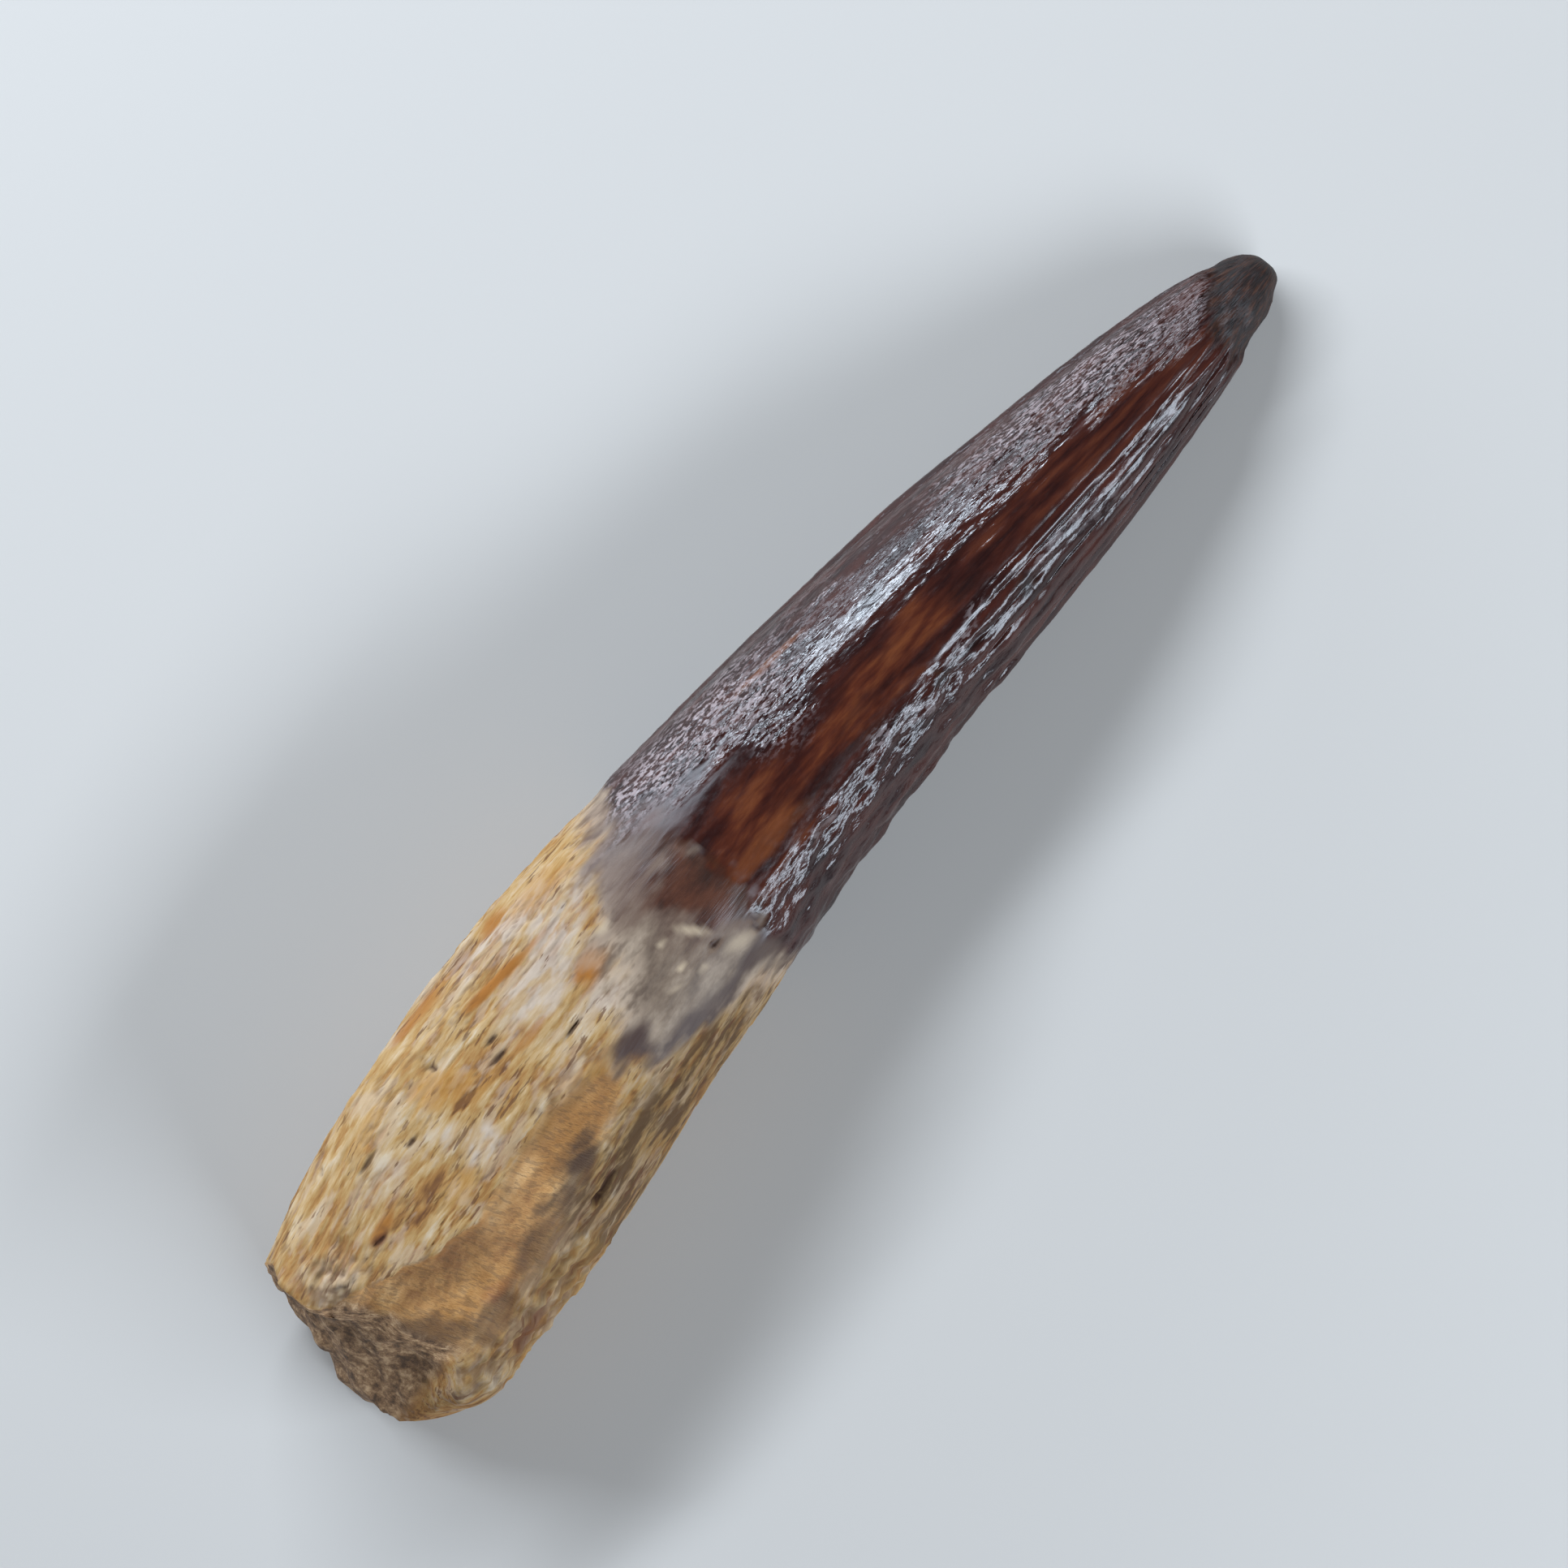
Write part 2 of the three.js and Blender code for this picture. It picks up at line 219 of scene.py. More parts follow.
def spall_depth(x, y, wander):
    """How deep the spalled face lies under the unbroken top. The ledge wanders a little along its length."""
    upper = through(SPALL, 1, x) + wander
    lower = through(SPALL, 2, x) + wander
    across = (y - lower) / np.maximum(upper - lower, NOTHING)
    high = top_of(x, upper) - np.maximum(0, through(SPALL, 3, x))
    low = top_of(x, lower)
    hollow = np.maximum(0, through(SPALL, 4, x))
    face = low + (high - low) * across - hollow * 4 * across * (1 - across)
    depth = np.maximum(0, top_of(x, y) - face) * smoothstep(0, LEDGE_RUN, upper - y)
    return np.where((x < SPALL_END) & (y > lower) & (y < upper), depth, 0)


def rough_field(points, scale, octaves=1):
    """Smooth noise from about -1 to 1, over points scaled along each axis. Shifting them changes it."""
    scaled = (points * scale).reshape(-1, 3)
    if octaves == 1:
        values = [noise.noise(Vector(point)) for point in scaled]
    else:
        values = [noise.fractal(Vector(point), 1.0, 2.0, octaves) for point in scaled]
    return np.array(values).reshape(points.shape[:-1])


# The skin is a grid of rings. Their points stand closer together on the upper side, which shows the finest
# relief, and the last rings close up towards the tip.
ROUND = 352
RING_STEP = 0.345
TOP_SHARE = 0.35
TIP_RUN = 3
TIP_RINGS = 13
body_rings = np.arange(ROOT_END, TIP - TIP_RUN, RING_STEP)
tip_rings = TIP - TIP_RUN * np.linspace(1, 0, TIP_RINGS + 1)[:-1] ** 1.6
rings = np.concatenate([body_rings, tip_rings])
turns = np.arange(ROUND) * 2 * np.pi / ROUND
x, angle = np.meshgrid(rings, turns + TOP_SHARE * (np.cos(turns) - 1), indexing="ij")
on_top = smoothstep(-0.1, 0.15, np.sin(angle))

# The first rings lean with the snapped end. How far back it cuts depends on where a point lies, and the other
# way round, so the points settle in a few passes.
SETTLING_PASSES = 4
LEDGE_WANDER = [(0.12, 1.9, 1), (0.06, 4.3, 0)]  # height, along, phase
lean_share = 1 - smoothstep(ROOT_END, ROOT_END + SNAP_REACH, x)
at = x
for _ in range(SETTLING_PASSES):
    y, z = skin(at, angle)
    wander = sum(high * np.sin(along * at + phase) for high, along, phase in LEDGE_WANDER)
    spalled = np.where(angle < np.pi, spall_depth(at, y, wander), 0)
    z = z - spalled
    at = x + lean_share * (snap_x(y, z) - ROOT_END)
base = np.stack([at, y, z], axis=-1)

# The grain runs along the tooth: x, and a place on a round rod, so that it narrows with the tooth. The noise
# that bends it also frays the edges between the materials.
ROD_RADIUS = 7.5
grain = np.stack([at, ROD_RADIUS * np.cos(angle), ROD_RADIUS * np.sin(angle)], axis=-1)
bend = [rough_field(grain + shift, (0.11, 0.28, 0.28)) for shift in (17, 29)]
fray = rough_field(grain, (0.35, 0.9, 0.9), 3)

# Where the fibrous root ends, where the enamel starts, the smooth strip along the crown, and the worn tip.
ROOT_EDGE = np.array([  # y, x
    (-7.5, -7.0),
    (-5.6, -9.5),
    (-4.4, -15.0),
    (-3.6, -18.2),
    (-1.6, -18.2),
    (0.3, -15.8),
    (2.6, -14.2),
    (5.0, -12.2),
    (7.2, -10.0),
    (9.6, -7.8),
])
ENAMEL_EDGE = np.array([  # y, x, half the width over which the enamel comes in
    (-7.5, -6.9, 0.5),
    (-4.4, -6.6, 0.6),
    (-2.6, -6.0, 0.35),
    (-1.0, -5.3, 0.3),
    (1.0, -5.6, 0.3),
    (3.4, -5.6, 0.5),
    (4.8, -6.4, 3.0),
    (6.6, -7.6, 3.0),
    (7.8, -6.8, 0.8),
    (9.6, -5.6, 0.4),
])
WINDOW = np.array([  # x, the smooth strip's upper and lower edge
    (-6.0, 7.2, -2.2),
    (-2.0, 6.9, -2.1),
    (0.5, 5.0, -2.0),
    (2.5, 2.6, -1.9),
    (6.0, 2.2, -1.6),
    (10.0, 2.3, -1.4),
    (14.0, 1.9, -1.8),
    (17.0, 0.9, -1.5),
    (19.5, 0.3, -1.2),
    (22.5, 0.8, -2.1),
    (30.0, 0.5, -2.25),
    (36.0, -0.2, -2.35),
    (40.0, -0.8, -2.5),
])
WORN_EDGE = np.array([  # y, x
    (-5.0, 39.0),
    (-2.6, 39.0),
    (-0.8, 40.2),
    (0.2, 41.6),
    (1.6, 42.0),
])


def past(edge, fraying):
    """How far each point lies past an edge that crosses the tooth, towards the tip."""
    return at - through(edge, 1, y) - fraying * fray


def patch(x, y_offset, half_length, half_width):
    """A soft oval on the upper side, from its middle's x and each point's distance across from its axis."""
    return np.exp(-(((at - x) / half_length) ** 2) - ((y_offset / half_width) ** 2)) * on_top


past_root = past(ROOT_EDGE, 2.0)
rooted = 1 - smoothstep(-1.6, 1.8, past_root)
past_enamel = past(ENAMEL_EDGE, 0.7)
enamel_run = through(ENAMEL_EDGE, 2, y)
enamelled = smoothstep(-enamel_run, enamel_run, past_enamel)
worn = smoothstep(-0.7, 0.7, past(WORN_EDGE, 0.8))

# The enamel is wrinkled outside the smooth strip, and brushed smooth in one slanting patch beside it.
WINDOW_SMOOTHING = 0.93
BRUSHED_X, BRUSHED_Y = 12, 3.9
BRUSHED_SLANT = 0.12
in_window = smoothstep(-0.7, 0.7, through(WINDOW, 1, at) + 1.2 * fray - y)
in_window = in_window * smoothstep(-0.25, 0.3, y - through(WINDOW, 2, at) + 0.5 * fray) * on_top
wrinkled = enamelled * (1 - WINDOW_SMOOTHING * in_window)
brushed_smooth = patch(BRUSHED_X + 0.5, y - BRUSHED_Y + BRUSHED_SLANT * (at - BRUSHED_X), 6, 1.3)

# The spalled face runs out towards the crown, and its end is broken off again as a bevel.
RUN_OUT = (-31, -27)
BEVEL_X, BEVEL_Y = -40.9, 1.2
BEVEL_SLANT = 0.3
spall = smoothstep(0.04, 0.3, spalled + 0.05 * fray)
spall = spall * smoothstep(-0.2, 1.5, y - through(SPALL, 2, at) - 0.9 * fray)
below_ledge = through(SPALL, 1, at) + wander - y
run_out = smoothstep(*RUN_OUT, at)
spall = spall * (1 + run_out * (smoothstep(-0.3, 1.3, below_ledge + 0.5 * fray) - 1))
# Just under the ledge the face is darker: partly stain, partly painted shade.
stain_and_shade_under_ledge = spall * np.exp(-(((below_ledge - 0.5) / 0.9) ** 2))
bevel_edge = BEVEL_X - BEVEL_SLANT * (y - BEVEL_Y)
bevel = spall * (1 - smoothstep(0, 1.6, at - bevel_edge - 0.8 * fray))

# Slits, cracks and pits, seen from above: x, y, half length, half width, turn in degrees, depth.
PORES = [
    (-29.9, 4.5, 0.5, 0.18, 0, 0.2),
    (-22.1, 4.7, 0.45, 0.16, 0, 0.18),
    (-22.7, 3.7, 0.65, 0.18, -3, 0.22),
    (-18.5, 1.3, 0.7, 0.15, 2, 0.17),
    (-25.7, 6.4, 0.5, 0.16, -55, 0.26),
    (-25.5, -6.4, 0.5, 0.2, 0, 0.5),
    (-24.3, -6.25, 1.1, 0.12, 6, 0.4),
    (-32.6, 5.75, 0.9, 0.13, 6, 0.16),
    (-33.4, 6.5, 0.5, 0.13, 70, 0.1),
    (-31.7, 6.6, 0.8, 0.15, 98, 0.12),
    (-35.0, 7.6, 0.35, 0.14, 50, 0.12),
    (-35.8, 2.2, 0.6, 0.16, -10, 0.16),
    (-39.6, 2.3, 0.7, 0.13, -35, 0.13),
    (-40.6, 3.5, 0.6, 0.12, -60, 0.12),
    (-9.1, -2.1, 0.32, 0.2, -20, 0.3),
    (-6.5, -3.1, 0.75, 0.16, 60, 0.26),
    (12.3, -2.0, 0.4, 0.16, 70, 0.14),
    (12.5, -2.9, 0.45, 0.18, 60, 0.14),
    (19.7, -2.4, 0.35, 0.2, 75, 0.16),
    (20.2, -3.2, 0.45, 0.22, 50, 0.16),
    (19.9, -3.9, 0.35, 0.2, 10, 0.14),
    (31.7, 0.5, 0.5, 0.16, 60, 0.08),
    (31.3, 1.1, 0.35, 0.14, 20, 0.08),
    (40.2, -2.0, 0.45, 0.3, 10, 0.25),
]


def spots(rows, softness, wobble):
    """The largest share of any oval in the rows at each point, with soft and wobbling edges."""
    share = np.zeros(at.shape)
    for spot_x, spot_y, half_length, half_width, turn, strength in rows:
        cosine = math.cos(math.radians(turn))
        sine = math.sin(math.radians(turn))
        along = (at - spot_x) * cosine + (y - spot_y) * sine
        across = (y - spot_y) * cosine - (at - spot_x) * sine
        off = np.hypot(along / half_length, across / half_width) + wobble * fray
        share = np.maximum(share, strength * (1 - smoothstep(1 - softness, 1 + softness, off)))
    return share * on_top


pores = spots(PORES, 0.6, 0.25)
pored = smoothstep(0.02, 0.2, pores)

# The root is a weave of flat fibre bundles: each is a cell of its own height and tone, and some of the seams
# between them have opened. Heights of relief are outwards along the skin's normal, here and below.
BUNDLES = (0.42, 1.9, 1.9)  # how many to the millimetre, along and across
WEAVE_BEND = 0.45
FIBRE_RELIEF = 0.13
BUNDLE_RELIEF = 0.12
SPLINTER_RELIEF = 0.07
CRACK_DEPTH = 0.05
LEDGE_LUMP_RELIEF = 0.7
RIM_LUMP_RELIEF = 0.45
RIM_BELOW = (-5.6, -7.2)
RIM_UP_TO = (-30, -24)


def bundles(points, scale):
    """For each point: how near the seam between two bundles is, and a number from 0 to 1 for its bundle."""
    near = np.empty(points.shape[:-1])
    kept = np.empty(points.shape[:-1])
    for where, point in zip(np.ndindex(near.shape), (points * scale).reshape(-1, 3)):
        distances, centres = noise.voronoi(Vector(point))
        near[where] = distances[1] - distances[0]
        kept[where] = math.sin(centres[0].dot(Vector((12.99, 78.23, 37.72)))) * 43758.5 % 1
    return near, kept


weave = grain + WEAVE_BEND * np.stack([fray, fray, rough_field(grain + 9, (0.5, 0.8, 0.8))], axis=-1)
seam_near, bundle_tone = bundles(weave, BUNDLES)
opened = smoothstep(-0.05, 0.35, rough_field(grain + 30, (0.25, 0.6, 0.6)))
cracks = opened * (1 - smoothstep(0.02, 0.16, seam_near))
root_relief = (
    FIBRE_RELIEF * rough_field(grain, (0.16, 0.85, 0.85), 2)
    + BUNDLE_RELIEF * (bundle_tone - 0.5)
    + SPLINTER_RELIEF * rough_field(grain, (0.45, 2.4, 2.4), 2)
    - CRACK_DEPTH * cracks
)
ledge_lumps = patch(-39.8, y - 2.6, 2.4, 2.0)
lower_rim = smoothstep(*RIM_BELOW, y) * (1 - smoothstep(*RIM_UP_TO, at)) * on_top
lumpy = rough_field(base, (0.95, 1.2, 1.2), 2)
root_relief = root_relief + (LEDGE_LUMP_RELIEF * ledge_lumps + RIM_LUMP_RELIEF * lower_rim) * lumpy

# The spalled face tore across the fibres, so it is brushed across the tooth. The neck is nearly smooth.
FIBRE_TURN = math.radians(-68)
SPALL_RELIEF = 0.09
BRUSHED_RELIEF = 0.022
BEVEL_RELIEF = 0.12
NECK_RELIEF = 0.05
cross_grain = np.stack([
    at * math.cos(FIBRE_TURN) + y * math.sin(FIBRE_TURN),
    y * math.cos(FIBRE_TURN) - at * math.sin(FIBRE_TURN),
    z,
], axis=-1)
spall_relief = (
    SPALL_RELIEF * rough_field(base, (0.4, 0.4, 0.4), 3)
    + BRUSHED_RELIEF * rough_field(cross_grain, (0.6, 2.8, 0.6), 2)
    + BEVEL_RELIEF * bevel * rough_field(base + 40, (0.6, 0.7, 0.7), 3)
)
neck_relief = NECK_RELIEF * rough_field(grain, (0.3, 0.5, 0.5), 3)

# The enamel is finely wrinkled. Low on the concave side it is knobbly near its start, and towards the tip
# uneven ridges stand there, over flutes that are half worn away.
WRINKLE_RELIEF = 0.035
WRINKLE_LOSS = 0.02  # how much of it the brushed patch loses
RIDGE_RELIEF = 0.02
THICK_RIDGE_RELIEF = 0.15
FLUTE_LOSS = 0.05
KNOB_RELIEF = 0.22
SWELL_RELIEF = 0.03
KNOBBED_BELOW, KNOBBED_UP_TO = (-1.5, -2.6), (14, 20)
RIDGED_BELOW, RIDGED_FROM = (-1.2, -2.2), (12, 20)
wrinkles = rough_field(grain, (1.0, 1.6, 1.6), 2)
ridges = 1 - 2 * np.abs(rough_field(grain, (0.05, 0.75, 0.75)))
thick_ridges = 1 - 2 * np.abs(rough_field(grain + 2, (0.09, 0.5, 0.5), 2))
knobs = rough_field(grain + 5, (0.5, 0.9, 0.9), 2)
knobbed = smoothstep(*KNOBBED_BELOW, y) * (1 - smoothstep(*KNOBBED_UP_TO, at))
ridged = smoothstep(*RIDGED_BELOW, y) * smoothstep(*RIDGED_FROM, at) * on_top
enamel_relief = (
    wrinkled * ((WRINKLE_RELIEF - WRINKLE_LOSS * brushed_smooth) * wrinkles + RIDGE_RELIEF * ridges)
    + wrinkled * ridged * (THICK_RIDGE_RELIEF * thick_ridges - FLUTE_LOSS * np.cos(FLUTES * angle))
    + KNOB_RELIEF * wrinkled * knobbed * knobs
    + SWELL_RELIEF * rough_field(grain, (0.15, 0.3, 0.3))
)

# The worn tip is bare dentine, a little under the tooth's own outline, and blunted in lumps at its very end.
WORN_LEVEL = -0.08
WORN_RELIEF = 0.1
BLUNT_RELIEF = 0.4
BLUNT_FROM = (41.5, 44)
worn_relief = WORN_LEVEL + WORN_RELIEF * rough_field(base, (0.8, 1.2, 1.2), 3)
blunted = smoothstep(*BLUNT_FROM, at)
worn_relief = worn_relief + BLUNT_RELIEF * blunted * rough_field(base + 3, (0.55, 0.5, 0.5))

# Each surface takes over from the one before, and the enamel adds its own thickness.
height = neck_relief
height = height + rooted * (root_relief - height)
sheathed = smoothstep(-1.3, 0.9, past_enamel)
height = height + sheathed * (enamelled * enamel_relief + ENAMEL_THICKNESS - height)
height = height + spall * (spall_relief - height)
height = height + worn * (worn_relief - height)

# The line where the enamel starts is cracked through in short lengths, with pale flecks between them.
SEAM_X = -5.4
SEAM_WIDTH = 0.2
SEAM_DEPTH = 0.02
SEAM_FROM, SEAM_TO = (-3.6, -2.8), (3.4, 4.2)
FLECK_OFF = 0.2
FLECK_WIDTH = 0.45
FLECKED_FROM, FLECKED_TO = (-3.5, -2), (3.8, 5.0)
seam_off = at - SEAM_X - 0.5 * fray - 0.2 * np.sin(1.7 * y)
seam_blobs = rough_field(base + 70, (0.7, 0.7, 0.7), 2)
seam = smoothstep(-0.1, 0.2, seam_blobs) * np.exp(-((seam_off / SEAM_WIDTH) ** 2))
seam = seam * smoothstep(*SEAM_FROM, y) * (1 - smoothstep(*SEAM_TO, y)) * on_top
flecks = np.exp(-(((seam_off - FLECK_OFF) / FLECK_WIDTH) ** 2)) * smoothstep(0, -0.25, seam_blobs)
flecks = flecks * smoothstep(*FLECKED_FROM, y) * (1 - smoothstep(*FLECKED_TO, y)) * on_top
height = height - SEAM_DEPTH * seam - pores

# Outward normals from the grid itself, then the relief moves each point along its own.
TIP_FADE = 1.2
along_x = np.gradient(base, axis=0)
around = np.roll(base, -1, axis=1) - np.roll(base, 1, axis=1)
normal = np.cross(along_x, around)
normal = normal / np.maximum(np.linalg.norm(normal, axis=-1, keepdims=True), NOTHING)
outward = np.stack([np.zeros(at.shape), np.cos(angle), np.sin(angle)], axis=-1)
normal = normal * np.sign(np.sum(normal * outward, axis=-1, keepdims=True))
fading = smoothstep(0, TIP_FADE, TIP - at)[..., None]
body = base + normal * height[..., None] * fading

# The snapped face: rings between its rim and its middle, each with all of the rim's points, or one in two, in
# four or in eight. It is dished, and rough with the ends of the torn fibres.
FACE_RINGS = [(share, 1) for share in (0.975, 0.945, 0.915, 0.885, 0.855, 0.82, 0.785, 0.75, 0.71)]
FACE_RINGS += [(share, 2) for share in (0.66, 0.61, 0.56, 0.51, 0.45)]
FACE_RINGS += [(share, 4) for share in (0.39, 0.32, 0.25)]
FACE_RINGS += [(share, 8) for share in (0.17, 0.09)]
FACE_ROUGHNESS = 0.32
ACROSS = np.array([0, 1, 1])  # leaves y and z of a point, and drops its x
rim = body[0]
middle = rim.mean(axis=0)


def face_points(rim_points, share):
    """A ring of the snapped face, drawn in from the rim to a share of its size."""
    drawn_in = middle + share * (rim_points - middle)
    rim_offset = rim_points[:, 0] - snap_x(rim_points[:, 1], rim_points[:, 2])
    bumps = FACE_ROUGHNESS * rough_field(drawn_in * ACROSS, (1, 0.55, 0.55), 4)
    drawn_in[:, 0] = snap_x(drawn_in[:, 1], drawn_in[:, 2]) + SNAP_DISH * (1 - share**2)
    drawn_in[:, 0] += share**8 * rim_offset + (1 - share**8) * bumps
    return drawn_in


face_rings = [face_points(rim[::one_in], share) for share, one_in in reversed(FACE_RINGS)]

# The rim is worn soft where the snapped face meets the spalled one, and at its low corner.
SOFT_RINGS = 9
SOFTNESS = 0.5
LOW_CORNER = (-5.4, -6.6)
SPREADING_PASSES = 80
WEARING_PASSES = 90
soft = SOFTNESS * np.maximum(spall[0], smoothstep(*LOW_CORNER, y[0]))
for _ in range(SPREADING_PASSES):
    soft = (np.roll(soft, 1) + np.roll(soft, -1)) / 2
soft = soft[:, None]
rim_strip = np.stack([*face_rings[-SOFT_RINGS:], *body[:SOFT_RINGS]])
for _ in range(WEARING_PASSES):
    mean = (rim_strip[:-2] + rim_strip[2:]) / 2
    rim_strip[1:-1] += soft * (mean - rim_strip[1:-1])
face_rings[-SOFT_RINGS:] = rim_strip[:SOFT_RINGS]
body[:SOFT_RINGS] = rim_strip[SOFT_RINGS:]

# All points in one list: the face's rings from its middle outwards, the body's rings, and the two poles.
face_middle = face_points(middle[None, :], 0.0)
tip_y, tip_z, *_ = oval_at(np.array([TIP]))
tip_point = np.array([[TIP, tip_y[0], tip_z[0]]])
ring_points = [*face_rings, *body]
ring_starts = np.cumsum([0] + [len(ring) for ring in ring_points]).tolist()
points = np.concatenate([*ring_points, face_middle, tip_point])
face_pole = len(points) - 2
tip_pole = len(points) - 1

# The box that the solid fills is kept: the same middle, and nothing past its faces.
low = np.array(cad_low) / MM
high = np.array(cad_high) / MM
points[:, 1] += (low[1] + high[1] - points[:, 1].min() - points[:, 1].max()) / 2
points = np.clip(points, low, high)

faces = []
count = len(ring_points[0])
for number in range(count):
    faces.append((face_pole, (number + 1) % count, number))
for ring in range(1, len(ring_points)):
    inner = ring_starts[ring - 1]
    outer = ring_starts[ring]
    inner_count = len(ring_points[ring - 1])
    count = len(ring_points[ring])
    ratio = count // inner_count
    for number in range(count):
        under = inner + number // ratio
        under_next = inner + (number // ratio + 1) % inner_count
        here = outer + number
        following = outer + (number + 1) % count
        if ratio == 2 and number % 2 == 0:
            faces.append((under, following, here))
        else:
            faces.append((under, under_next, following, here))
last = ring_starts[-2]
for number in range(ROUND):
    faces.append((tip_pole, last + number, last + (number + 1) % ROUND))

tooth_mesh = bpy.data.meshes.new("fossil_tooth")
tooth_mesh.from_pydata((points * MM).tolist(), [], faces)
tooth_mesh.shade_smooth()
tooth = bpy.data.objects.new("fossil_tooth", tooth_mesh)
bpy.context.scene.collection.objects.link(tooth)

# Stains and painted highlights, seen from above: x, y, half length, half width, turn in degrees, strength.
ORANGE = [
    (-18.7, 6.65, 3.2, 0.32, -4, 1.0),
    (-14.8, 2.8, 1.5, 0.7, 10, 1.0),
    (-20.5, 3.0, 1.2, 0.35, 0, 0.6),
    (-35.3, 2.5, 1.2, 0.4, 8, 0.8),
    (-23.9, 9.2, 2.4, 0.35, 0, 0.8),
    (-16.5, 9.2, 1.2, 0.35, 0, 0.8),
    (-2.5, -0.6, 3.0, 0.7, 0, 0.45),
    (6.0, 6.1, 3.0, 0.2, -6, 0.8),
]
OCHRE = [
    (-22.5, -2.3, 4.5, 1.5, 0, 0.9),
    (-26.6, 5.5, 1.6, 0.95, 0, 1.0),
    (-25.4, 4.2, 1.1, 0.5, 0, 0.8),
    (-30.2, 0.5, 1.5, 0.7, -10, 0.8),
    (-24.6, 3.2, 1.6, 0.5, 0, 0.7),
    (-31.0, 7.0, 2.0, 0.6, 0, 0.6),
    (-13.0, 8.2, 3.0, 0.7, -8, 0.7),
    (-35.5, -4.3, 4.0, 1.0, -8, 0.9),
]
LILAC = [
    (-40.0, 3.1, 1.6, 1.5, 25, 0.45),
    (-38.4, 1.8, 1.0, 0.5, -30, 0.4),
    (-43.0, -7.2, 1.8, 0.8, -35, 0.7),
    (-27.4, 1.0, 1.3, 0.8, 20, 1.0),
    (-28.2, 2.9, 0.9, 0.5, 0, 0.8),
    (-33.0, 4.2, 1.5, 0.8, 0, 0.5),
    (-17.5, 4.4, 3.2, 1.3, 0, 1.0),
    (-16.0, 8.2, 4.5, 0.7, -3, 1.0),
    (-14.0, 6.3, 3.0, 1.5, -6, 1.0),
    (-15.2, 0.6, 2.0, 1.1, -10, 0.9),
    (-22.0, -0.2, 2.0, 0.4, 0, 0.5),
]
GREY = [
    (-17.3, -2.5, 1.4, 1.8, 0, 1.0),
    (-25.6, -4.9, 2.6, 1.3, 5, 1.0),
    (-42.4, -1.6, 1.0, 2.6, -15, 0.3),
    (-37.8, -4.4, 3.4, 1.0, -48, 0.7),
    (-34.5, -6.2, 4.0, 1.1, -8, 0.75),
    (-13.6, -4.2, 3.6, 0.7, -6, 0.8),
    (-29.5, -5.6, 3.2, 1.0, 0, 0.7),
    (-7.2, -4.8, 1.8, 1.0, 0, 0.9),
]
RUST = [
    (-34.3, -8.2, 1.6, 0.35, 8, 0.9),
    (-33.8, -5.1, 1.1, 0.5, -10, 0.6),
    (-44.3, -5.3, 0.5, 0.7, 0, 0.9),
    (-43.7, -1.0, 0.5, 0.8, 0, 0.6),
    (-43.0, 3.6, 0.5, 0.7, 0, 0.7),
    (-35.8, 2.2, 0.55, 0.3, -10, 1.0),
    (-19.5, 9.3, 1.2, 0.25, 0, 0.4),
]
OVAL = [
    (-6.8, 1.2, 2.3, 2.8, 0, 1.0),
    (-5.8, -1.0, 1.6, 1.4, 0, 0.9),
    (-5.7, 3.4, 1.8, 1.2, 0, 0.85),
]
BROWN = [
    (-9.0, 5.6, 4.5, 3.0, -10, 0.9),
    (-9.0, 3.3, 3.0, 1.6, -10, 0.9),
    (-7.8, 0.6, 2.4, 3.2, 0, 0.9),
    (-6.6, -2.6, 1.6, 1.2, 0, 0.8),
    (-5.0, 7.6, 4.0, 0.7, -8, 0.7),
]
CREAM = [
    (-9.3, -0.5, 0.9, 0.24, -60, 0.7),
    (-8.0, -3.2, 0.9, 0.4, -15, 0.6),
    (-10.6, -2.5, 0.3, 0.2, 0, 0.5),
    (-12.6, -2.0, 0.5, 0.16, -20, 0.4),
    (-11.4, -1.45, 0.22, 0.18, 0, 1.0),
    (-11.1, 0.4, 0.25, 0.2, 0, 0.6),
    (-12.6, 3.9, 0.45, 0.4, 0, 0.8),
    (-40.2, -2.4, 0.14, 0.28, 0, 1.0),
]
AMBER = [
    (-1.8, 0.4, 4.4, 2.6, -4, 0.75),
    (6.0, 0.8, 5.5, 0.6, 4, 1.0),
    (8.0, -0.5, 4.0, 0.45, -3, 0.9),
    (12.5, 0.4, 3.5, 1.2, 0, 0.8),
    (29.5, -0.7, 9.5, 1.25, -6, 0.3),
]
# Where the enamel is granular: its bump is deeper, and pale speckles are painted on there as highlights.
GRANULAR_AND_GLINTS = [
    (-0.5, 7.2, 8.5, 1.7, -7, 1.0),
    (4.6, 5.2, 3.2, 1.1, -4, 0.6),
    (3.2, 3.1, 2.2, 0.9, -28, 0.5),
    (32.0, 2.2, 9.5, 1.4, -14, 1.0),
]
# Pale blobs painted on as highlights along the bright band low on the concave side.
HIGHLIGHT_BLOBS = [
    (-5.1, -2.5, 0.8, 0.35, -10, 0.6),
    (-1.6, -2.5, 1.7, 0.4, 0, 0.7),
    (1.9, -2.4, 0.9, 0.45, 10, 0.6),
    (6.6, -2.0, 1.7, 0.45, 6, 0.7),
    (9.3, -2.6, 1.3, 0.45, -20, 0.7),
    (14.6, -2.1, 1.5, 0.45, 8, 0.7),
    (16.4, -1.4, 1.1, 0.35, 12, 0.6),
    (23.0, -2.4, 2.0, 0.3, 0, 0.4),
    (26.5, -3.4, 2.2, 0.3, 0, 0.3),
    (33.5, -2.8, 2.5, 0.25, 3, 0.3),
]
BLACK = [
    (-5.2, 2.0, 0.3, 0.8, 0, 0.7),
    (17.5, -0.3, 1.4, 0.5, -20, 0.4),
    (19.8, -2.9, 0.8, 0.5, 20, 0.9),
    (12.2, -2.5, 0.7, 0.4, 0, 0.8),
    (-6.2, -3.2, 0.9, 0.3, 50, 0.8),
    (5.0, -1.1, 3.5, 0.3, -4, 0.5),
]

